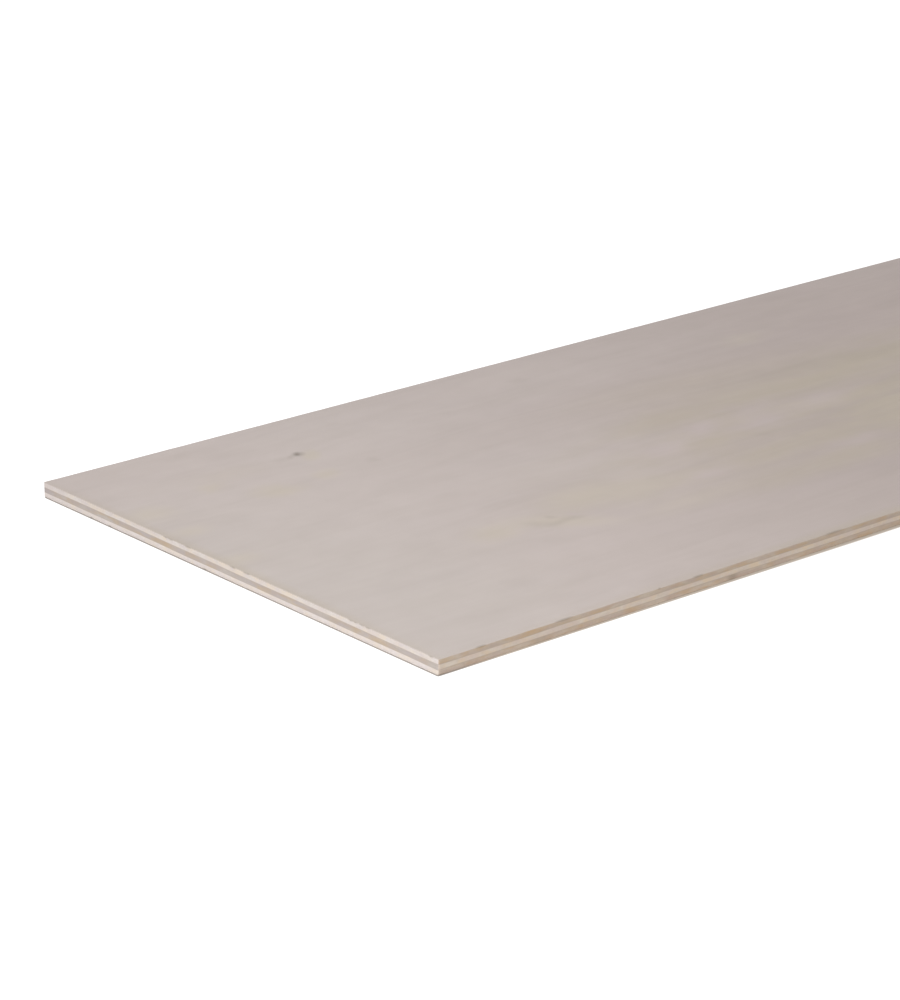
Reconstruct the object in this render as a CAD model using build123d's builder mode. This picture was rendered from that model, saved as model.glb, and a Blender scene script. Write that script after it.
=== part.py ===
from build123d import *
import os

# Three-ply plywood sheet, lying flat on its back ply.
# The origin is under the middle of the sheet, on the surface that it lies on.
# +X runs along the length, which is the grain of the two outer plies.
# +Y runs across the width, which is the grain of the core, and +Z is up.

# Trimmed size of the sheet
sheet_length = 600.0
sheet_width = 200.0

# Sanded thickness of each ply, from the bottom up
back_thickness = 1.65
core_thickness = 1.70
face_thickness = 1.65

# Handling wear: the four upright corners, and the sharp edges round both faces
corner_radius = 0.6
arris_radius = 0.3

# Each ply starts on the glue line over the ply below it
back_bottom = 0.0
core_bottom = back_bottom + back_thickness
face_bottom = core_bottom + core_thickness

# An outer ply keeps most of its sawn edge upright beside its worn arris
widest_arris_share = 0.45
face_arris = min(arris_radius, widest_arris_share * face_thickness)
back_arris = min(arris_radius, widest_arris_share * back_thickness)

os.makedirs("parts", exist_ok=True)

# Back ply: the hidden outer veneer, worn along its lowest edges
with BuildPart() as back_ply:
    with BuildSketch(Plane.XY.offset(back_bottom)):
        RectangleRounded(sheet_length, sheet_width, corner_radius)
    extrude(amount=back_thickness)
    fillet(back_ply.faces().sort_by(Axis.Z)[0].edges(), radius=back_arris)

# Core ply: laid across the other two, and trimmed flush with them by the same saw
with BuildPart() as core_ply:
    with BuildSketch(Plane.XY.offset(core_bottom)):
        RectangleRounded(sheet_length, sheet_width, corner_radius)
    extrude(amount=core_thickness)

# Face ply: the outer veneer that shows, worn along its highest edges
with BuildPart() as face_ply:
    with BuildSketch(Plane.XY.offset(face_bottom)):
        RectangleRounded(sheet_length, sheet_width, corner_radius)
    extrude(amount=face_thickness)
    fillet(face_ply.faces().sort_by(Axis.Z)[-1].edges(), radius=face_arris)

back_ply.part.label = "back_ply"
core_ply.part.label = "core_ply"
face_ply.part.label = "face_ply"

export_step(back_ply.part, "parts/back_ply.step")
export_step(core_ply.part, "parts/core_ply.step")
export_step(face_ply.part, "parts/face_ply.step")
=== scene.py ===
import math
import random

import bpy
import numpy as np
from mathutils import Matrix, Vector, noise
from mathutils.geometry import delaunay_2d_cdt


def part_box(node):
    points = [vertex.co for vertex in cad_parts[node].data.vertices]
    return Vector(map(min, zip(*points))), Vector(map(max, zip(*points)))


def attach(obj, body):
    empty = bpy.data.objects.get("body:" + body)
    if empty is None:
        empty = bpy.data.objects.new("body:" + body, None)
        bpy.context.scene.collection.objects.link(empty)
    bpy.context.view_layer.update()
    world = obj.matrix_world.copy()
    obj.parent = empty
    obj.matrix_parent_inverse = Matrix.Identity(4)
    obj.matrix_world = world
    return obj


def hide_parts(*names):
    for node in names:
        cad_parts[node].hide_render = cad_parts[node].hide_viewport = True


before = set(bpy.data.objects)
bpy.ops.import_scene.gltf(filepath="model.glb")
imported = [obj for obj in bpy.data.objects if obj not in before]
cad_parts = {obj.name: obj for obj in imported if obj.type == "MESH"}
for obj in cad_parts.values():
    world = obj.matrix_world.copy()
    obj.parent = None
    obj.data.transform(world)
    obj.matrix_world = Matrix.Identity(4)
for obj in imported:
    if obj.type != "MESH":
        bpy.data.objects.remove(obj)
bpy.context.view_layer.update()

mm = 0.001

# The sheet's own sizes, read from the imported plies
backLow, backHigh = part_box("back_ply")
_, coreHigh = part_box("core_ply")
faceLow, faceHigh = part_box("face_ply")
halfLength = (faceHigh.x - faceLow.x) / 2
halfWidth = (faceHigh.y - faceLow.y) / 2
nearCorner = Vector((faceLow.x, faceLow.y, faceHigh.z))

# How the whole sheet was sawn, sanded and handled
sheet = {
    "cornerRadius": 0.6 * mm,      # upright corners
    "cornerSteps": 4,
    "edgeStep": 0.5 * mm,          # spacing of the points along the sawn edges
    "edgeRows": 6,                 # rows of points down each ply's edge
    "topWear": {"long": 0.34 * mm, "short": 0.12 * mm},      # mean rounding of the upper arris
    "bottomWear": {"long": 0.16 * mm, "short": 0.11 * mm},   # and of the lower one
    "wearSpread": 0.3,             # how much of it comes and goes
    "wearLength": 7 * mm,          # how fast the wear changes along an edge
    "leastWear": 0.06 * mm,
    "mostWear": 0.95,              # of the rim's inset, so that the worn edge stays outside it
    "wearSteps": 4,                # rings of points round a worn arris
    "sharpAngle": 55,              # degrees between two facets that still shade as one smooth surface
    "rimInset": 0.55 * mm,         # first ring of points inside the arris, less than the corners' radius
    "sawRipple": 0.035 * mm,       # marks that the saw leaves, all inward: upright ridges and longer waves
    "ridgeSize": (0.9 * mm, 0.9 * mm, 8.1 * mm),
    "ridgeShare": 0.35,
    "waveSize": (10.8 * mm, 10.8 * mm, 3.6 * mm),
    "waveShare": 0.3,
    "deepestMark": 1.4,            # of the ripple
    "glueWander": 0.17 * mm,       # how far a glue line strays from flat
    "glueWanderLength": 26 * mm,
    "relief": 0.03 * mm,           # a sanded veneer is never dead flat
    "reliefSize": (24 * mm, 9 * mm, 9 * mm),
    "reliefShare": 0.4,            # how much of the relief comes and goes
}

# Points of the flat faces: close together near the rim and at knots, sparse elsewhere
facePoints = {
    "rimRows": ((1.3 * mm, 1.0 * mm), (2.8 * mm, 2.0 * mm)),  # inset from the edge, and spacing along it
    "gridInset": 6 * mm,
    "gridStep": 5 * mm,
    "knotRings": (0.4 * mm, 0.8 * mm, 1.3 * mm, 2.0 * mm),
    "knotTurns": 10,
    "mergeDistance": 1e-9,
}


def fromNearCorner(along, across):  # millimetres over the sheet, from the corner nearest the camera
    return Vector((nearCorner.x + along * mm, nearCorner.y + across * mm, 0))


# Small breaks of the arris: middle, length along the edge, depth inward, depth down from the face or up
# from the back
chips = [
    {"at": fromNearCorner(0, 3.4), "length": 2.6, "cut": 0.2, "drop": 0.3, "rim": "top"},
    {"at": fromNearCorner(0, 32.2), "length": 3.0, "cut": 0.2, "drop": 0.25, "rim": "top"},
    {"at": fromNearCorner(0, 40.1), "length": 3.4, "cut": 0.2, "drop": 0.25, "rim": "top"},
    {"at": fromNearCorner(0, 90.2), "length": 2.4, "cut": 0.4, "drop": 0.3, "rim": "top"},
    {"at": fromNearCorner(0, 97.5), "length": 2.6, "cut": 0.4, "drop": 0.35, "rim": "top"},
    {"at": fromNearCorner(0, 121.0), "length": 4.4, "cut": 0.4, "drop": 0.3, "rim": "top"},
    {"at": fromNearCorner(0, 130.0), "length": 3.6, "cut": 0.35, "drop": 0.3, "rim": "top"},
    {"at": fromNearCorner(48.8, 0), "length": 8.0, "cut": 0.4, "drop": 0.45, "rim": "top"},
    {"at": fromNearCorner(163.0, 0), "length": 9.0, "cut": 0.4, "drop": 0.4, "rim": "top"},
    {"at": fromNearCorner(1.0, 0), "length": 4.0, "cut": 0.2, "drop": 0.25, "rim": "bottom"},
]
strayChips = {"count": 40, "length": (1.2, 5.0), "cut": (0.12, 0.3), "drop": (0.12, 0.35)}


def linear(hexColour):  # sRGB hex to the linear numbers that Blender works in
    parts = [int(hexColour[i:i + 2], 16) / 255 for i in (1, 3, 5)]
    return tuple(c / 12.92 if c <= 0.04045 else ((c + 0.055) / 1.055) ** 2.4 for c in parts) + (1.0,)


# Mesh

def walkOutline():  # points round the sheet, anticlockwise from above, with the way out at each
    radius = sheet["cornerRadius"]
    corners = [(-1, -1, 180), (1, -1, 270), (1, 1, 0), (-1, 1, 90)]
    places, outward = [], []
    for number, (signX, signY, startAngle) in enumerate(corners):
        centre = np.array([signX * (halfLength - radius), signY * (halfWidth - radius)])
        for step in range(sheet["cornerSteps"] + 1):
            angle = math.radians(startAngle + 90 * step / sheet["cornerSteps"])
            way = np.array([math.cos(angle), math.sin(angle)])
            places.append(centre + way * radius)
            outward.append(way)
        nextX, nextY, _ = corners[(number + 1) % 4]
        nextCentre = np.array([nextX * (halfLength - radius), nextY * (halfWidth - radius)])
        start, end = places[-1], nextCentre + outward[-1] * radius
        steps = round(float(np.linalg.norm(end - start)) / sheet["edgeStep"])
        for step in range(1, steps):
            places.append(start + (end - start) * step / steps)
            outward.append(outward[-1])
    return np.array(places), np.array(outward)


outline, outward = walkOutline()
print("outline points:", len(outline))


def withHeight(places, height):
    return np.column_stack([places, np.broadcast_to(height, len(places))])


def noiseAt(points, size, seed, octaves=1):  # smooth noise of about -1 to 1, its size given for x, y, z
    total = np.zeros(len(points))
    for octave in range(octaves):
        scaled = points / np.array(size) * 2 ** octave + seed * 7.31
        total += np.array([noise.noise(p) for p in scaled]) / 2 ** octave
    return total


def glueLine(places, flatHeight, seed):  # height of a glue line over each place
    slow = noiseAt(withHeight(places, 0), (sheet["glueWanderLength"],) * 3, seed, 2)
    return flatHeight + sheet["glueWander"] * slow


def upperGlue(places):
    return glueLine(places, coreHigh.z, 3)


def lowerGlue(places):
    return glueLine(places, backHigh.z, 5)


def sanded(places, seed):  # how far a sanded face lies inside its flat plane at each place
    swell = noiseAt(withHeight(places, 0), sheet["reliefSize"], seed, 2)
    return sheet["relief"] * (0.5 + sheet["reliefShare"] * swell).clip(0, 1)


def veneerTop(places):
    heights = faceHigh.z - sanded(places, 9)
    for knot in facePly["knots"]:  # a pin knot dries into a small pit
        away = np.linalg.norm(places - np.array(knot["at"].xy), axis=1)
        heights = heights - knot["pit"] * np.exp(-(away / knot["radius"]) ** 2)
    return heights


def veneerBottom(places):
    return backLow.z + sanded(places, 19)


def ring(inset, height):  # the outline drawn in by an inset, at a height
    return withHeight(outline - outward * np.broadcast_to(inset, len(outline))[:, None], height)


def sawnRing(height):  # the sawn edge at one height, inside the outline by the ripple of the saw
    points = withHeight(outline, height)
    ridges = sheet["ridgeShare"] * noiseAt(points, sheet["ridgeSize"], 2, 2)
    waves = sheet["waveShare"] * noiseAt(points, sheet["waveSize"], 3)
    return ring(sheet["sawRipple"] * (0.5 + ridges + waves).clip(0, sheet["deepestMark"]), height)


def sawnRings(topHeight, bottomHeight):  # rings down one ply's edge
    rows = sheet["edgeRows"]
    return [sawnRing(topHeight + (bottomHeight - topHeight) * row / rows) for row in range(rows + 1)]


def rimWear(rim):  # at each outline point: how far the wear reaches inward and down, and how broken it is
    seed = 1 if rim == "top" else 2
    wear = sheet[rim + "Wear"]
    usual = wear["short"] + (wear["long"] - wear["short"]) * outward[:, 1] ** 2
    comesAndGoes = noiseAt(withHeight(outline, 0), (sheet["wearLength"],) * 3, seed, 2)
    cut = usual * (1 + sheet["wearSpread"] * comesAndGoes)
    drop = cut.copy()
    broken = np.zeros(len(outline))
    draw = random.Random(seed + 11)
    strays = []
    for _ in range(strayChips["count"]):
        stray = {name: draw.uniform(*strayChips[name]) for name in ("length", "cut", "drop")}
        strays.append({**stray, "at": Vector((*outline[draw.randrange(len(outline))], 0)), "rim": rim})
    for chip in chips + strays:
        if chip["rim"] == rim:
            away = np.linalg.norm(outline - np.array(chip["at"].xy), axis=1) / (chip["length"] * mm / 2)
            hollow = np.clip(1 - away ** 2, 0, 1)
            cut = np.maximum(cut, chip["cut"] * mm * hollow)
            drop = np.maximum(drop, chip["drop"] * mm * hollow)
            broken = np.maximum(broken, hollow)
    cut = cut.clip(sheet["leastWear"], sheet["mostWear"] * sheet["rimInset"])
    return cut, drop.clip(sheet["leastWear"], None), broken


def wornRim(rim, flatHeight):  # rings round a worn arris, from the flat face to the sawn edge
    cut, drop, broken = rimWear(rim)
    down = -1 if rim == "top" else 1
    rings = [ring(sheet["rimInset"], flatHeight)]
    for step in range(sheet["wearSteps"]):
        angle = math.pi / 2 * step / sheet["wearSteps"]
        rings.append(ring(cut * (1 - math.sin(angle)), flatHeight + down * drop * (1 - math.cos(angle))))
    return rings, flatHeight + down * drop, broken


def innerPoints(knots):  # the points inside one flat face
    points = []
    for inset, step in facePoints["rimRows"]:
        x, y = halfLength - inset, halfWidth - inset
        for side in np.arange(-x, x, step):
            points += [(side, -y), (side, y)]
        for side in np.arange(-y + step, y, step):
            points += [(-x, side), (x, side)]
    inset, step = facePoints["gridInset"], facePoints["gridStep"]
    for x in np.arange(-halfLength + inset, halfLength - inset + step / 2, step):
        for y in np.arange(-halfWidth + inset, halfWidth - inset + step / 2, step):
            points.append((x, y))
    for knot in knots:
        points.append(tuple(knot["at"].xy))
        for radius in facePoints["knotRings"]:
            for turn in range(facePoints["knotTurns"]):
                angle = turn / facePoints["knotTurns"] * math.tau
                x, y = radius * math.cos(angle), radius * math.sin(angle)
                points.append((knot["at"].x + x, knot["at"].y + y))
    return points


def cap(rimPlaces, extra):  # triangles that close a ring, through the extra points
    flat = [Vector(p) for p in rimPlaces] + [Vector(p) for p in extra]
    count = len(rimPlaces)
    edges = [(i, (i + 1) % count) for i in range(count)]
    insideOnly = 1  # no triangle outside the ring
    made = delaunay_2d_cdt(flat, edges, [list(range(count))], insideOnly, facePoints["mergeDistance"])
    faces, origins = made[2:4]
    return [origin[0] for origin in origins], faces


# Rings run from the top down; kinds says whether each band between two rings is face or sawn edge
def buildPly(name, rings, kinds, topHeight, bottomHeight, knots, surfaces):
    count = len(outline)
    extra = innerPoints(knots)
    vertices, faces = list(rings), []
    slots = []  # 0 is the flat face's material, 1 the long edges' and 2 the ends'
    ends = np.abs(outward[:, 0]) > np.abs(outward[:, 1])
    for level, kind in enumerate(kinds):
        for i in range(count):
            j = (i + 1) % count
            upper, lower = level * count, (level + 1) * count
            faces.append((upper + i, lower + i, lower + j, upper + j))
            slots.append(0 if kind == "face" else (2 if ends[i] and ends[j] else 1))
    total = len(rings) * count
    for heightOf, level, turned in ((topHeight, 0, False), (bottomHeight, len(rings) - 1, True)):
        origins, triangles = cap(rings[level][:, :2], extra)
        vertices.append(withHeight(np.array(extra), heightOf(np.array(extra))))
        index = [level * count + o if o < count else total + o - count for o in origins]
        for triangle in triangles:
            corners = [index[v] for v in triangle]
            faces.append(tuple(reversed(corners)) if turned else tuple(corners))
            slots.append(0)
        total += len(extra)
    mesh = bpy.data.meshes.new(name)
    mesh.from_pydata(np.vstack(vertices).tolist(), [], faces)
    mesh.polygons.foreach_set("material_index", slots)
    mesh.polygons.foreach_set("use_smooth", [True] * len(faces))
    for surface in surfaces:
        mesh.materials.append(surface)
    mesh.set_sharp_from_angle(angle=math.radians(sheet["sharpAngle"]))
    piece = bpy.data.objects.new(name, mesh)
    bpy.context.scene.collection.objects.link(piece)
    print(name, "triangles:", sum(len(f) - 2 for f in faces))
    return piece


def addFloat(piece, name, values):  # a number at each point, for the material to read
    attribute = piece.data.attributes.new(name, "FLOAT", "POINT")
    attribute.data.foreach_set("value", np.asarray(values, dtype=np.float32))


def glueDistances(piece, lines):  # millimetres from each point to the nearest glue line of its ply
    coordinates = np.zeros(len(piece.data.vertices) * 3)
    piece.data.vertices.foreach_get("co", coordinates)
    coordinates = coordinates.reshape(-1, 3)
    gaps = [np.abs(coordinates[:, 2] - line(coordinates[:, :2])) / mm for line in lines]
    addFloat(piece, "glueDistance", np.min(gaps, axis=0))


def breakDarkness(piece, broken, shares):  # shares: how much painted shade each ring gets where the arris is broken
    values = np.zeros(len(piece.data.vertices))
    for level, share in shares.items():
        values[level * len(outline):(level + 1) * len(outline)] = broken * share
    addFloat(piece, "dustAndShade", values)


# Materials

# A node with its settings, and its inputs' values and links, by name or by number where names repeat
def add(tree, kind, settings=None, inputs=None):
    made = tree.nodes.new(kind)
    for name, value in (settings or {}).items():
        setattr(made, name, value)
    for name, value in (inputs or {}).items():
        if isinstance(value, bpy.types.NodeSocket):
            tree.links.new(value, made.inputs[name])
        else:
            made.inputs[name].default_value = value
    return made


def newMaterial(name):
    material = bpy.data.materials.new(name)
    material.use_nodes = True
    material.node_tree.nodes.clear()
    return material, material.node_tree


def grain(tree, place, size, detail, seed, wanted="Fac"):  # a noise pattern with its real size along x, y, z
    moved = add(tree, "ShaderNodeMapping", {"vector_type": "POINT"},
                {0: place, 1: (seed * 3.7, seed * 1.9, seed * 2.3), 3: tuple(1 / s for s in size)})
    pattern = add(tree, "ShaderNodeTexNoise", None,
                  {"Vector": moved.outputs[0], "Scale": 1.0, "Detail": detail, "Roughness": 0.55})
    return pattern.outputs[wanted]


def mixedTone(tree, terms, middle=0.5):  # patterns added up by weight, each taken about its own middle of 0.5
    total = middle - sum(weight for _, weight in terms) * 0.5
    for pattern, weight in terms:
        added = add(tree, "ShaderNodeMath", {"operation": "MULTIPLY_ADD"}, {0: pattern, 1: weight, 2: total})
        total = added.outputs[0]
    return total


def layColours(tree, base, layers):  # each (amount, colour) is laid over what is under it
    for amount, colour in layers:
        mixed = add(tree, "ShaderNodeMix", {"data_type": "RGBA"}, {0: amount, 6: base, 7: linear(colour)})
        base = mixed.outputs[2]
    return base


def oval(tree, place, mark):  # the mark's amount at its middle, fading to 0 at its rim
    moved = add(tree, "ShaderNodeMapping", {"vector_type": "TEXTURE"}, {
        0: place,
        1: tuple(mark["at"]),
        2: (0, 0, math.radians(mark.get("turn", 0))),
        3: (mark["size"][0] * mm, mark["size"][1] * mm, 1.0),
    })
    away = add(tree, "ShaderNodeVectorMath", {"operation": "LENGTH"}, {0: moved.outputs[0]}).outputs["Value"]
    return add(tree, "ShaderNodeMapRange", {"interpolation_type": "SMOOTHSTEP"},
               {0: away, 1: 1 - mark.get("soft", 1.0), 2: 1.0, 3: mark["amount"], 4: 0.0}).outputs[0]


def strayed(tree, place, reach, size, seed):  # the same place pushed about, so that no mark is a true oval
    straying = grain(tree, place, (size, size, size), 3.0, seed, "Color")
    push = add(tree, "ShaderNodeVectorMath", {"operation": "MULTIPLY_ADD"},
               {0: straying, 1: (reach, reach, reach), 2: (-reach / 2, -reach / 2, -reach / 2)}).outputs[0]
    return add(tree, "ShaderNodeVectorMath", {"operation": "ADD"}, {0: place, 1: push}).outputs[0]


def showing(tree):  # 1 where a ray shows the background, straight to the camera or by way of metal or glass
    rays = add(tree, "ShaderNodeLightPath")
    shown = add(tree, "ShaderNodeMath", {"operation": "MAXIMUM"},
                {0: rays.outputs["Is Camera Ray"], 1: rays.outputs["Is Glossy Ray"]}).outputs[0]
    return add(tree, "ShaderNodeMath", {"operation": "MAXIMUM"},
               {0: shown, 1: rays.outputs["Is Transmission Ray"]}).outputs[0]


def bareWood(tree, look, colour, relief, rough):  # the surface that takes all the patterns
    bump = add(tree, "ShaderNodeBump", None,
               {"Strength": look["bump"], "Distance": look["bumpDepth"], "Height": relief})
    surface = add(tree, "ShaderNodeBsdfPrincipled", None,
                  {"Base Color": colour, "Roughness": rough, "Normal": bump.outputs[0], "IOR": look["ior"],
                   "Specular IOR Level": look["gloss"]})
    add(tree, "ShaderNodeOutputMaterial", None, {0: surface.outputs[0]})


def bareVeneer(look, ply, seed):  # the flat faces; seed keeps one veneer's grain apart from another's
    material, tree = newMaterial(look["name"])
    place = add(tree, "ShaderNodeTexCoord").outputs["Object"]

    # the grain wanders as it runs along the length, and bows out round a knot
    slow = grain(tree, place, look["bendSize"], 1.0, seed)
    shift = add(tree, "ShaderNodeMath", {"operation": "MULTIPLY_ADD"},
                {0: slow, 1: 2 * look["bend"], 2: -look["bend"]}).outputs[0]
    for knot in ply["knots"]:
        near = oval(tree, place, {"at": knot["at"], "size": knot["bowSize"], "amount": 1.0})
        shift = add(tree, "ShaderNodeMath", {"operation": "MULTIPLY_ADD"},
                    {0: near, 1: knot["bow"], 2: shift}).outputs[0]
    offset = add(tree, "ShaderNodeCombineXYZ", None, {1: shift}).outputs[0]
    bent = add(tree, "ShaderNodeVectorMath", {"operation": "ADD"}, {0: place, 1: offset}).outputs[0]

    cloud = grain(tree, bent, look["cloudSize"], 2.0, seed + 1)
    drift = grain(tree, bent, look["driftSize"], 1.0, seed + 2)
    streak = grain(tree, bent, look["streakSize"], 3.0, seed + 3)
    fibre = grain(tree, bent, look["fibreSize"], 2.0, seed + 4)
    figure = mixedTone(tree, [(cloud, look["cloud"]), (drift, look["drift"]),
                              (streak, look["streak"]), (fibre, look["fibre"])], look["figure"])

    # growth rings are peeled nearly flat, so they show as a few soft lines along the length
    field = grain(tree, bent, look["ringSize"], 1.0, seed + 5)
    turned = add(tree, "ShaderNodeMath", {"operation": "MULTIPLY"},
                 {0: field, 1: look["ringCount"]}).outputs[0]
    wave = add(tree, "ShaderNodeMath", {"operation": "PINGPONG"}, {0: turned, 1: 0.5}).outputs[0]
    late = add(tree, "ShaderNodeMapRange", {"interpolation_type": "SMOOTHSTEP"},
               {0: wave, 1: 0.25, 2: 0.5, 3: 0.0, 4: look["ring"]}).outputs[0]

    # the mineral tint comes in patches, most of them in one long zone
    patchy = grain(tree, bent, look["tintSize"], 4.0, seed + 6)
    bare, full = look["tintFade"]
    patches = add(tree, "ShaderNodeMapRange", {"interpolation_type": "SMOOTHSTEP"},
                  {0: patchy, 1: bare, 2: full, 3: look["tintLeast"], 4: 1.0}).outputs[0]
    ragged = strayed(tree, place, look["ragged"], look["raggedSize"], seed + 7)
    frayed = strayed(tree, place, look["frayed"], look["frayedSize"], seed + 8)
    tinted = add(tree, "ShaderNodeMath", {"operation": "ADD"},
                 {0: oval(tree, ragged, look["tintZone"]), 1: look["tintElsewhere"]}).outputs[0]
    tint = add(tree, "ShaderNodeMath", {"operation": "MULTIPLY"}, {0: tinted, 1: patches}).outputs[0]

    # painted shade: the broken arris is darkened by colour, read from the point attribute
    dustAndShade = add(tree, "ShaderNodeAttribute", {"attribute_name": "dustAndShade"}).outputs["Fac"]
    layers = [(oval(tree, bent, zone), look[zone["colour"]]) for zone in ply["tones"]]
    layers.append((tint, look["tint"]))
    layers += [(oval(tree, ragged, patch), look[patch["colour"]]) for patch in ply["patches"]]
    layers += [(oval(tree, frayed, mark), look[mark["colour"]]) for mark in ply["marks"]]
    layers += [(figure, look["grain"]), (late, look["grain"]), (dustAndShade, look["dustAndShade"])]
    colour = layColours(tree, linear(look["pale"]), layers)

    relief = mixedTone(tree, [(fibre, 0.6), (streak, 0.4)])
    smooth, coarse = look["roughness"]
    rough = add(tree, "ShaderNodeMapRange", None,
                {0: streak, 1: 0.2, 2: 0.8, 3: smooth, 4: coarse}).outputs[0]
    bareWood(tree, look, colour, relief, rough)
    return material


def sawnEdge(look, ply, alongLength, seed):  # alongLength: whether the edge runs along the sheet's length
    material, tree = newMaterial(look["name"])
    place = add(tree, "ShaderNodeTexCoord").outputs["Object"]
    deep = 40 * mm  # nothing changes over the few tenths of a millimetre inward from the edge
    long, thin = look["patternSize"]
    size = (long, deep, thin) if alongLength else (deep, long, thin)
    wide, tall = look["scratchSize"]
    scratchSize = (wide, deep, tall) if alongLength else (deep, wide, tall)
    blotch = grain(tree, place, tuple(s * 4 for s in size), 2.0, seed)
    pattern = grain(tree, place, size, 3.0, seed + 1)
    scratch = grain(tree, place, scratchSize, 2.0, seed + 2)
    fleckLong, fleckThin = look["fleckSize"]
    fleckSize = (fleckLong, deep, fleckThin) if alongLength else (deep, fleckLong, fleckThin)
    none, full = look["fleckFade"]
    flecks = []
    for hue, share in (("warm", look["warmth"]), ("cool", look["coolness"])):
        fleck = grain(tree, place, fleckSize, 2.0, seed + 3 + len(flecks))
        amount = add(tree, "ShaderNodeMapRange", {"interpolation_type": "SMOOTHSTEP"},
                     {0: fleck, 1: none, 2: full, 3: 0.0, 4: share}).outputs[0]
        flecks.append((amount, look[hue]))
    tone = mixedTone(tree, [(blotch, look["blotch"]), (pattern, look["pattern"]), (scratch, look["scratch"])])

    # glue soaks a little way into the wood beside each glue line
    glue = add(tree, "ShaderNodeAttribute", {"attribute_name": "glueDistance"}).outputs["Fac"]
    reach = mixedTone(tree, [(pattern, look["glueStray"])], 0.0)
    soaked = add(tree, "ShaderNodeMath", {"operation": "ADD"}, {0: glue, 1: reach}).outputs[0]
    lineHalf, reachEnd = look["glueLine"], look["glueReach"]
    stain = add(tree, "ShaderNodeMapRange", {"interpolation_type": "SMOOTHSTEP"},
                {0: soaked, 1: lineHalf, 2: reachEnd, 3: look["glueAmount"], 4: 0.0}).outputs[0]
    # painted shade: the broken arris is darkened by colour, read from the point attribute
    dustAndShade = add(tree, "ShaderNodeAttribute", {"attribute_name": "dustAndShade"}).outputs["Fac"]
    marks = [(oval(tree, place, mark), look[mark["colour"]]) for mark in ply["edgeMarks"]]
    layers = [(tone, look["dark"]), *flecks, *marks, (stain, look["glue"]), (dustAndShade, look["dustAndShade"])]
    colour = layColours(tree, linear(look["pale"]), layers)

    relief = mixedTone(tree, [(pattern, 0.5), (scratch, 0.5)])
    bareWood(tree, look, colour, relief, look["roughness"])
    return material


# Rotary-cut poplar, fine sanded and left bare: pale and nearly plain, with soft clouds and faint long streaks
bareFace = {
    "name": "poplar veneer, rotary cut, fine sanded",
    "pale": "#CBBFBB",
    "bright": "#D3C8C4",
    "cool": "#C8BFBA",
    "shade": "#BAADA9",
    "tint": "#C2B6A7",
    "straw": "#CEC3B3",
    "rosy": "#CCBEBD",
    # rosier tone of the far end, partly the veneer's own tint and partly painted shade of the light's falloff
    "blushAndShade": "#C2B4B0",
    "brown": "#9F9489",
    "heart": "#6C6254",
    "grain": "#968C83",
    # the next colour is laid as painted shade over broken arrises
    "dustAndShade": "#A0968C",
    "figure": 0.15,                                 # how much of the grain colour lies over all the others
    "cloudSize": (15 * mm, 11 * mm, 15 * mm), "cloud": 0.175,
    "driftSize": (95 * mm, 48 * mm, 95 * mm), "drift": 0.145,
    "streakSize": (34 * mm, 2.8 * mm, 34 * mm), "streak": 0.044,
    "fibreSize": (9 * mm, 0.5 * mm, 9 * mm), "fibre": 0.028,  # real fibres are 0.03 mm, drawn coarser to show
    "ringSize": (260 * mm, 34 * mm, 260 * mm), "ringCount": 7.0, "ring": 0.034,
    "bendSize": (90 * mm, 35 * mm, 90 * mm), "bend": 6 * mm,
    "tintSize": (44 * mm, 13 * mm, 44 * mm), "tintFade": (0.3, 0.66), "tintLeast": 0.3,
    "tintElsewhere": 0.08,                          # how much tint lies outside the zone
    "tintZone": {"at": fromNearCorner(320, 92), "size": (240, 62), "turn": 3, "amount": 0.85, "soft": 0.6},
    "ragged": 9 * mm, "raggedSize": 16 * mm,        # how far the rims of the patches stray
    "frayed": 1.2 * mm, "frayedSize": 5 * mm,       # and those of the small marks
    "roughness": (0.56, 0.70),                      # sanded fibres scatter nearly all the light
    "ior": 1.5, "gloss": 0.25,
    "bump": 0.2, "bumpDepth": 0.05 * mm,
}


def pinKnot(along, across):  # a pin knot: a tinted halo beside it, a tail along the grain and a dark heart
    halo = fromNearCorner(along + 3.1, across - 4.0)
    tail = fromNearCorner(along - 7.3, across - 1.2)
    root = fromNearCorner(along - 3.0, across - 1.0)
    heart = fromNearCorner(along + 0.4, across - 0.4)
    darkest = fromNearCorner(along, across)
    return [
        {"at": halo, "size": (8, 4.5), "turn": 51, "soft": 0.7, "colour": "straw", "amount": 0.56},
        {"at": tail, "size": (6, 3.4), "turn": 9, "colour": "brown", "amount": 0.14},
        {"at": root, "size": (3.6, 2.2), "turn": 28, "colour": "brown", "amount": 0.3},
        {"at": heart, "size": (3.2, 3.5), "turn": -50, "colour": "heart", "amount": 0.42},
        {"at": darkest, "size": (2.9, 1.6), "turn": 52, "colour": "heart", "amount": 0.54},
    ]


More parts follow.
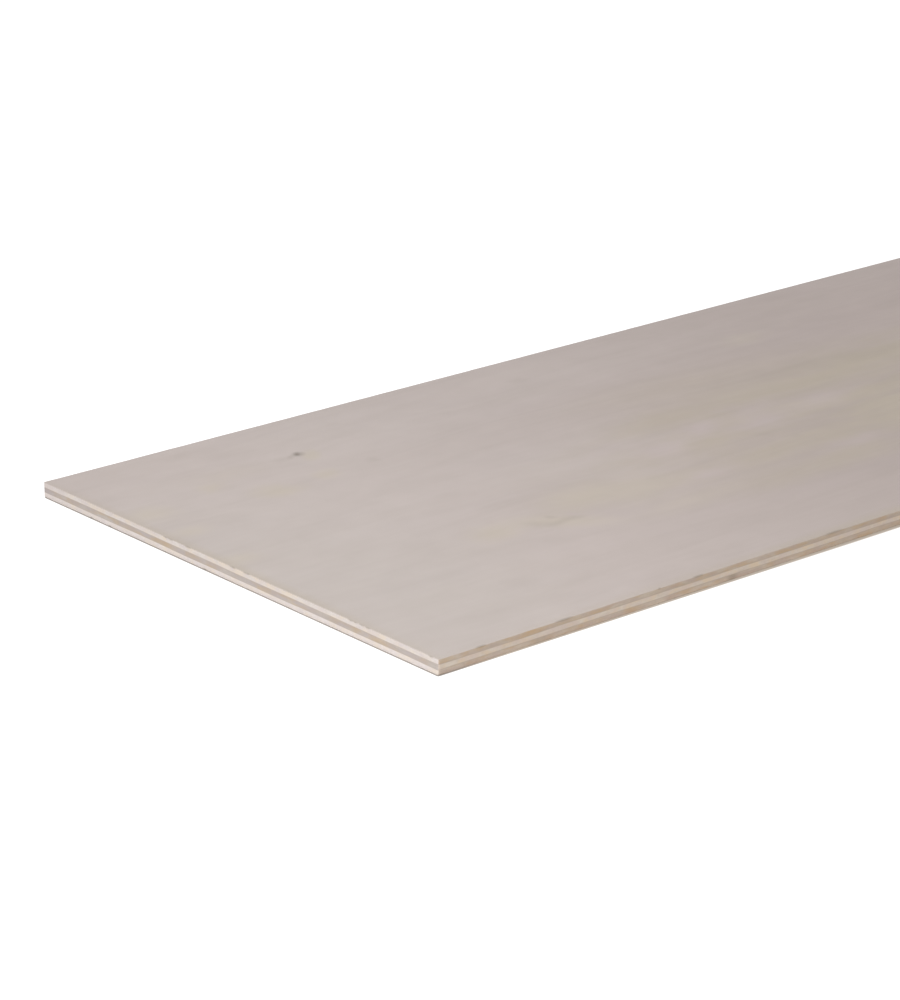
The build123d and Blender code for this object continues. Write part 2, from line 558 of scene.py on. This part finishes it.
facePly = {
    "knots": [
        {"at": fromNearCorner(80.3, 168.2), "radius": 1.0 * mm, "pit": 0.12 * mm,
         "bow": 2.2 * mm, "bowSize": (14, 5)},
    ],
    "marks": pinKnot(80.3, 168.2) + [
        # a small soft flame where the grain swirls
        {"at": fromNearCorner(103.9, 63.0), "size": (30, 9), "turn": -38, "colour": "straw", "amount": 0.56},
        {"at": fromNearCorner(96.7, 65.5), "size": (8, 5), "turn": -42, "colour": "brown", "amount": 0.18},
        {"at": fromNearCorner(100.4, 62), "size": (5, 3.6), "turn": 10, "colour": "brown", "amount": 0.16},
        {"at": fromNearCorner(104.1, 62.3), "size": (5, 3), "turn": 16, "colour": "brown", "amount": 0.18},
        {"at": fromNearCorner(109.1, 62.7), "size": (6.4, 3), "turn": -14, "colour": "brown", "amount": 0.2},
        {"at": fromNearCorner(104, 67.8), "size": (3.4, 2.4), "turn": -40, "colour": "brown", "amount": 0.2},
        {"at": fromNearCorner(111.4, 65.1), "size": (3.4, 1.7), "turn": -41, "colour": "rosy", "amount": 0.6},
        # the rims of the face are a little yellowed by hands and air
        {"at": fromNearCorner(300, 0), "size": (400, 6), "colour": "tint", "amount": 0.75},
        {"at": fromNearCorner(0, 100), "size": (5, 170), "colour": "tint", "amount": 0.6},
    ],
    "tones": [  # broad changes of tone along the sheet
        # the far end: a rosier tone, and darker as painted shade where the light falls off
        {"at": fromNearCorner(370, 70), "size": (340, 260), "soft": 0.8, "colour": "blushAndShade", "amount": 1.0},
        {"at": fromNearCorner(250, 20), "size": (170, 75), "colour": "shade", "amount": 0.3},
        {"at": fromNearCorner(262, 60), "size": (120, 90), "colour": "shade", "amount": 0.66},
        {"at": fromNearCorner(264, 80), "size": (60, 42), "colour": "shade", "amount": 0.45},
        {"at": fromNearCorner(306, 158), "size": (60, 32), "colour": "shade", "amount": 0.35},
        {"at": fromNearCorner(8, 103), "size": (34, 24), "colour": "shade", "amount": 0.4},
        {"at": fromNearCorner(0, 60), "size": (110, 150), "soft": 0.8, "colour": "cool", "amount": 0.8},
        {"at": fromNearCorner(80, 130), "size": (130, 110), "colour": "bright", "amount": 0.42},
        {"at": fromNearCorner(95, 180), "size": (60, 45), "colour": "bright", "amount": 0.5},
        {"at": fromNearCorner(190, 175), "size": (150, 40), "colour": "bright", "amount": 0.32},
        {"at": fromNearCorner(158, 100), "size": (70, 40), "colour": "bright", "amount": 0.55},
    ],
    "patches": [
        # the long dark streak and its weaker beginning
        {"at": fromNearCorner(287, 124.2), "size": (50, 11), "turn": -5, "colour": "brown", "amount": 0.22},
        {"at": fromNearCorner(246, 130), "size": (34, 10), "turn": -8, "colour": "brown", "amount": 0.12},
        # patches that the tint leaves out
        {"at": fromNearCorner(203, 100.6), "size": (17, 9), "turn": 12, "colour": "rosy", "amount": 0.8},
        {"at": fromNearCorner(224.5, 93.6), "size": (26, 12), "turn": 8, "colour": "rosy", "amount": 0.7},
        {"at": fromNearCorner(254.4, 95.5), "size": (26, 11), "turn": 4, "colour": "rosy", "amount": 0.5},
        {"at": fromNearCorner(177.3, 92.4), "size": (22, 12), "turn": 8, "colour": "rosy", "amount": 0.7},
        {"at": fromNearCorner(173.3, 65.3), "size": (16, 8), "colour": "rosy", "amount": 0.45},
        {"at": fromNearCorner(229, 103), "size": (22, 8), "turn": 8, "colour": "rosy", "amount": 0.45},
        {"at": fromNearCorner(165, 104), "size": (20, 10), "colour": "rosy", "amount": 0.3},
        {"at": fromNearCorner(232.9, 57.3), "size": (24, 8), "colour": "rosy", "amount": 0.5},
        # tinted and straw-coloured patches by themselves
        {"at": fromNearCorner(123, 74.8), "size": (28, 13), "turn": 10, "colour": "straw", "amount": 0.56},
        {"at": fromNearCorner(143, 67.8), "size": (32, 15), "turn": 5, "colour": "straw", "amount": 0.48},
        {"at": fromNearCorner(150, 50), "size": (34, 10), "turn": 3, "colour": "straw", "amount": 0.3},
        {"at": fromNearCorner(190, 46), "size": (40, 12), "turn": 4, "colour": "tint", "amount": 0.5},
        {"at": fromNearCorner(223, 47), "size": (30, 11), "colour": "tint", "amount": 0.5},
        {"at": fromNearCorner(195, 65), "size": (26, 10), "turn": 4, "colour": "tint", "amount": 0.36},
        {"at": fromNearCorner(196, 116), "size": (34, 14), "turn": 6, "colour": "tint", "amount": 0.5},
        {"at": fromNearCorner(232, 138), "size": (80, 24), "turn": -4, "colour": "tint", "amount": 0.36},
        {"at": fromNearCorner(288, 122), "size": (46, 15), "turn": -4, "colour": "tint", "amount": 0.45},
        {"at": fromNearCorner(285, 163), "size": (18, 9), "colour": "straw", "amount": 0.35},
        {"at": fromNearCorner(50, 166), "size": (24, 9), "colour": "straw", "amount": 0.2},
        {"at": fromNearCorner(81, 69), "size": (16, 10), "colour": "straw", "amount": 0.6},
        {"at": fromNearCorner(54, 143.7), "size": (15, 9), "turn": -20, "colour": "straw", "amount": 0.64},
        {"at": fromNearCorner(75.5, 146), "size": (8, 6), "turn": 40, "colour": "straw", "amount": 0.56},
        {"at": fromNearCorner(38.9, 160), "size": (8, 7), "colour": "straw", "amount": 0.48},
        {"at": fromNearCorner(9, 152), "size": (12, 10), "colour": "straw", "amount": 0.48},
        {"at": fromNearCorner(9, 131), "size": (12, 8), "colour": "straw", "amount": 0.48},
        {"at": fromNearCorner(6, 102), "size": (12, 8), "colour": "straw", "amount": 0.48},
        # small faint smudges
        {"at": fromNearCorner(213.4, 80.7), "size": (4, 3), "colour": "brown", "amount": 0.09},
        {"at": fromNearCorner(219.9, 72.4), "size": (4.5, 3), "colour": "brown", "amount": 0.09},
        {"at": fromNearCorner(59, 30), "size": (9, 8), "colour": "brown", "amount": 0.09},
        {"at": fromNearCorner(48, 192), "size": (12, 5), "colour": "brown", "amount": 0.15},
        {"at": fromNearCorner(94.9, 147.3), "size": (5, 4.5), "turn": -41, "colour": "brown", "amount": 0.14},
        {"at": fromNearCorner(190, 179.9), "size": (6, 5), "colour": "brown", "amount": 0.12},
    ],
}
hiddenVeneer = {"knots": [], "marks": [], "patches": [], "tones": []}

# Marks of the sawn edges, where the wood of each ply turns greyer, warmer or dark
greyEnd = {"at": fromNearCorner(0, 200), "size": (12, 16), "colour": "cool", "amount": 0.7}
facePly["edgeMarks"] = [
    greyEnd,
    {"at": fromNearCorner(36.4, 0), "size": (7, 4), "colour": "warm", "amount": 0.6},
]
corePly = {
    **hiddenVeneer,
    "edgeMarks": [
        greyEnd,
        {"at": fromNearCorner(0, 132.3), "size": (4, 7), "colour": "warm", "amount": 0.6},
        {"at": fromNearCorner(0, 25), "size": (4, 8), "colour": "warm", "amount": 0.4},
    ],
}
backPly = {
    **hiddenVeneer,
    "edgeMarks": [
        greyEnd,
        {"at": fromNearCorner(39.1, 0), "size": (7, 4), "colour": "glue", "amount": 0.5},
        {"at": fromNearCorner(76.5, 0), "size": (6, 4), "colour": "warm", "amount": 0.5},
        {"at": fromNearCorner(118.5, 0), "size": (3.5, 3), "colour": "dustAndShade", "amount": 0.45},
    ],
}

# Sawn poplar, end grain: the cut ends of the fibres, pale and speckled, faintly scored by the teeth
outerEndGrain = {
    "name": "poplar outer ply, sawn end grain",
    # the fourth colour is laid as painted shade over broken arrises, and is also used for small dark marks
    "pale": "#EAE2DC", "dark": "#D7CBC4", "glue": "#BDB0A3", "dustAndShade": "#A4998F",
    "warm": "#E8D8C6", "warmth": 0.7, "cool": "#DBD0CE", "coolness": 0.6,
    "glueLine": 0.04, "glueReach": 0.26, "glueStray": 0.1, "glueAmount": 0.5,  # the first three in mm
    "patternSize": (1.6 * mm, 0.4 * mm), "scratchSize": (0.8 * mm, 6 * mm),
    "fleckSize": (5 * mm, 2.4 * mm), "fleckFade": (0.4, 0.66),
    "blotch": 1.3, "pattern": 1.1, "scratch": 0.4,
    "roughness": 0.78, "ior": 1.5, "gloss": 0.2,
    "bump": 0.35, "bumpDepth": 0.08 * mm,
}
# Sawn poplar, long grain: the sides of the fibres, tan and silky, in short streaks along the edge
outerLongGrain = {
    **outerEndGrain,
    "name": "poplar outer ply, sawn long grain",
    "pale": "#D2C3B3", "dark": "#BAAA99", "glue": "#B0A090", "dustAndShade": "#8E7E6E",
    "warm": "#C5A887", "warmth": 0.65, "cool": "#BDAAA0",
    "glueAmount": 0.3,
    "patternSize": (4 * mm, 0.4 * mm), "fleckSize": (8 * mm, 2.6 * mm),
}
# The back ply's sawn edges are painted lighter than the face ply's: painted light that offsets the shade they
# get near the floor
backEndGrainPaintedLight = {
    **outerEndGrain,
    "name": "poplar back ply, sawn end grain",
    "pale": "#F0E8E5", "dark": "#DDD2CC", "warm": "#EDDFCE", "cool": "#E2D8D6",
}
backLongGrainPaintedLight = {
    **outerLongGrain,
    "name": "poplar back ply, sawn long grain",
    "pale": "#D6C6B6", "dark": "#BEAF9E", "warm": "#C9AB8A", "cool": "#C1AEA4",
}
coreEndGrain = {
    **outerEndGrain,
    "name": "poplar core ply, sawn end grain",
    "pale": "#E2D6C8", "dark": "#CFC0B2", "warm": "#DFC8AC", "cool": "#D5C3BA", "glue": "#AE9E8E",
    "glueReach": 0.3,
}
coreLongGrain = {
    **outerLongGrain,
    "name": "poplar core ply, sawn long grain",
    "pale": "#CDC4BC", "dark": "#B6ABA4", "warm": "#C6AE90", "cool": "#BCB1B0", "glue": "#B9ADA2",
}

faceSurfaces = [
    bareVeneer(bareFace, facePly, 1),
    sawnEdge(outerLongGrain, facePly, True, 11),
    sawnEdge(outerEndGrain, facePly, False, 21),
]
coreSurfaces = [
    bareVeneer(bareFace, corePly, 31),
    sawnEdge(coreEndGrain, corePly, True, 41),
    sawnEdge(coreLongGrain, corePly, False, 51),
]
# the back ply's edges take the lighter colours, painted light against the shade near the floor
backSurfaces = [
    bareVeneer(bareFace, backPly, 61),
    sawnEdge(backLongGrainPaintedLight, backPly, True, 71),
    sawnEdge(backEndGrainPaintedLight, backPly, False, 81),
]
print("materials made")

upperLine, lowerLine = upperGlue(outline), lowerGlue(outline)
rimBands = sheet["wearSteps"] + 1
sideBands = sheet["edgeRows"]

# Face ply: flat face, worn arris, sawn edge down to the upper glue line
topRings, topEdge, topBroken = wornRim("top", faceHigh.z)
faceRings = topRings + sawnRings(topEdge, upperLine)
faceKinds = ["face"] * (rimBands - 1) + ["edge"] * (sideBands + 1)
faceVeneer = buildPly("face_veneer", faceRings, faceKinds,
                      veneerTop, upperGlue, facePly["knots"], faceSurfaces)
glueDistances(faceVeneer, [upperGlue])
# painted shade along the broken upper arris
breakDarkness(faceVeneer, topBroken, {1: 0.4, 2: 0.6, 3: 0.7, 4: 0.6, 5: 0.4, 6: 0.15})

# Core ply: nothing but a sawn edge between its two glue lines
coreVeneer = buildPly("core_veneer", sawnRings(upperLine, lowerLine), ["edge"] * sideBands,
                      upperGlue, lowerGlue, corePly["knots"], coreSurfaces)
glueDistances(coreVeneer, [upperGlue, lowerGlue])

# Back ply: sawn edge, then the less worn lower arris
bottomRings, bottomEdge, bottomBroken = wornRim("bottom", backLow.z)
backRings = sawnRings(lowerLine, bottomEdge) + bottomRings[::-1]
backKinds = ["edge"] * (sideBands + 2) + ["face"] * (rimBands - 2)
backVeneer = buildPly("back_veneer", backRings, backKinds,
                      lowerGlue, veneerBottom, backPly["knots"], backSurfaces)
glueDistances(backVeneer, [lowerGlue])
# painted shade along the broken lower arris
breakDarkness(backVeneer, bottomBroken, {5: 0.1, 6: 0.2, 7: 0.25, 8: 0.25, 9: 0.2})

for piece, node, slot in (
    (faceVeneer, "face_ply", "face_veneer"),
    (coreVeneer, "core_ply", "core_veneer"),
    (backVeneer, "back_ply", "back_veneer"),
):
    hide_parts(node)
    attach(piece, "root")
print("plies made")

# Floor: a plain matt board that shows as pure white to the camera, keeps the sheet's contact shadow and has a
# painted shadow line darkening its colour round the sheet's foot
floorLook = {
    "size": 8.0,
    "colour": "#CBCBCB",
    "glow": 0.7,
    # the painted shadow line where the sheet meets the floor: a darker floor colour, tight under the short
    # edge, and wider and warmer along the sheet, where the painted shadow is tinted as if by light off the
    # wood
    "paintedShadowColours": ("#A49E99", "#C3BAAF"),
    "gap": (0.62 * mm, 1.75 * mm),       # width of the line, from the near corner to the end of gapLength
    "gapFade": (0.6, 1.4),               # where it starts and ends to fade, in widths
    "gapLength": 170 * mm,
    "turnLength": 25 * mm,               # from the first painted shadow colour to the second
    "farTrim": 1.5 * mm,                 # it fades before the far left corner
}
floorMesh = bpy.data.meshes.new("floor")
half = floorLook["size"] / 2
floorCorners = [(-half, -half, 0), (half, -half, 0), (half, half, 0), (-half, half, 0)]
floorMesh.from_pydata(floorCorners, [], [(0, 1, 2, 3)])
floor = bpy.data.objects.new("floor", floorMesh)
bpy.context.scene.collection.objects.link(floor)
floorMaterial, tree = newMaterial("white floor board, matt")
place = add(tree, "ShaderNodeTexCoord").outputs["Object"]
trim = floorLook["farTrim"] / 2
moved = add(tree, "ShaderNodeVectorMath", {"operation": "ADD"}, {0: place, 1: (0, trim, 0)})
spread = add(tree, "ShaderNodeVectorMath", {"operation": "ABSOLUTE"}, {0: moved.outputs[0]})
past = add(tree, "ShaderNodeVectorMath", {"operation": "SUBTRACT"},
           {0: spread.outputs[0], 1: (halfLength, halfWidth - trim, 0)})
outside = add(tree, "ShaderNodeVectorMath", {"operation": "MAXIMUM"}, {0: past.outputs[0], 1: (0, 0, 0)})
away = add(tree, "ShaderNodeVectorMath", {"operation": "LENGTH"}, {0: outside.outputs[0]}).outputs["Value"]
along = add(tree, "ShaderNodeSeparateXYZ", None, {0: place}).outputs["X"]
gap = add(tree, "ShaderNodeMapRange", None, {
    0: along,
    1: nearCorner.x,
    2: nearCorner.x + floorLook["gapLength"],
    3: floorLook["gap"][0],
    4: floorLook["gap"][1],
}).outputs[0]
gaps = add(tree, "ShaderNodeMath", {"operation": "DIVIDE"}, {0: away, 1: gap}).outputs[0]
fadeStart, fadeEnd = floorLook["gapFade"]
clear = add(tree, "ShaderNodeMapRange", {"interpolation_type": "SMOOTHSTEP"},
            {0: gaps, 1: fadeStart, 2: fadeEnd, 3: 0.0, 4: 1.0}).outputs[0]
turnEnd = nearCorner.x + floorLook["turnLength"]
longShadowShare = add(tree, "ShaderNodeMapRange", {"interpolation_type": "SMOOTHSTEP"},
             {0: along, 1: nearCorner.x, 2: turnEnd, 3: 0.0, 4: 1.0}).outputs[0]
glow = add(tree, "ShaderNodeMath", {"operation": "MULTIPLY"}, {0: clear, 1: floorLook["glow"]}).outputs[0]
glow = add(tree, "ShaderNodeMath", {"operation": "MULTIPLY"}, {0: glow, 1: showing(tree)}).outputs[0]
shortPaintedShadow, longPaintedShadow = floorLook["paintedShadowColours"]
# painted shadow: inside the line round the sheet, the floor's own colour turns to the two shadow colours
colour = layColours(tree, linear(shortPaintedShadow), [(longShadowShare, longPaintedShadow), (clear, floorLook["colour"])])
board = add(tree, "ShaderNodeBsdfDiffuse", None, {"Color": colour})
light = add(tree, "ShaderNodeEmission", None, {"Color": (1, 1, 1, 1), "Strength": glow})
both = add(tree, "ShaderNodeAddShader", None, {0: board.outputs[0], 1: light.outputs[0]})
add(tree, "ShaderNodeOutputMaterial", None, {0: both.outputs[0]})
floorMesh.materials.append(floorMaterial)

# Light: one soft box beyond the near corner, to its left, and an even white surround
softBox = {"fromNearCorner": (-0.56, -0.31, 0.63), "size": 0.5, "power": 6.3, "colour": "#FFFFFF"}
lampData = bpy.data.lights.new("soft box", "AREA")
lampData.shape = "SQUARE"
lampData.size = softBox["size"]
lampData.energy = softBox["power"]
lampData.color = linear(softBox["colour"])[:3]
lamp = bpy.data.objects.new("soft box", lampData)
lamp.location = nearCorner + Vector(softBox["fromNearCorner"])
lamp.rotation_euler = (nearCorner - lamp.location).to_track_quat("-Z", "Y").to_euler()
bpy.context.scene.collection.objects.link(lamp)

# strength is its light on the sheet, and seen is how bright it shows as the background
surround = {"colour": "#FFFFFF", "strength": 0.56, "seen": 1.0}
world = bpy.data.worlds.new("even white surround")
world.use_nodes = True
tree = world.node_tree
tree.nodes.clear()
strength = add(tree, "ShaderNodeMapRange", None,
               {0: showing(tree), 1: 0.0, 2: 1.0, 3: surround["strength"], 4: surround["seen"]})
background = add(tree, "ShaderNodeBackground", None,
                 {"Color": linear(surround["colour"]), "Strength": strength.outputs[0]})
add(tree, "ShaderNodeOutputWorld", None, {0: background.outputs[0]})
bpy.context.scene.world = world

# Camera: the photograph's view, from beyond the near corner, looking down along the sheet
view = {
    "fromNearCorner": (-623.0 * mm, -737.2 * mm, 397.8 * mm),
    "azimuth": 40.40,
    "pitch": 19.88,
    "focalPixels": 3628,
    "longSidePixels": 1000,
    "sensor": 36,
}
cameraData = bpy.data.cameras.new("camera")
cameraData.sensor_width = view["sensor"]
cameraData.lens = view["focalPixels"] / view["longSidePixels"] * view["sensor"]
camera = bpy.data.objects.new("camera", cameraData)
camera.location = nearCorner + Vector(view["fromNearCorner"])
azimuth, pitch = math.radians(view["azimuth"]), math.radians(view["pitch"])
forward = Vector((math.sin(azimuth) * math.cos(pitch), math.cos(azimuth) * math.cos(pitch), -math.sin(pitch)))
camera.rotation_euler = forward.to_track_quat("-Z", "Y").to_euler()
bpy.context.scene.collection.objects.link(camera)
bpy.context.scene.camera = camera

bpy.context.scene.view_settings.view_transform = "Standard"
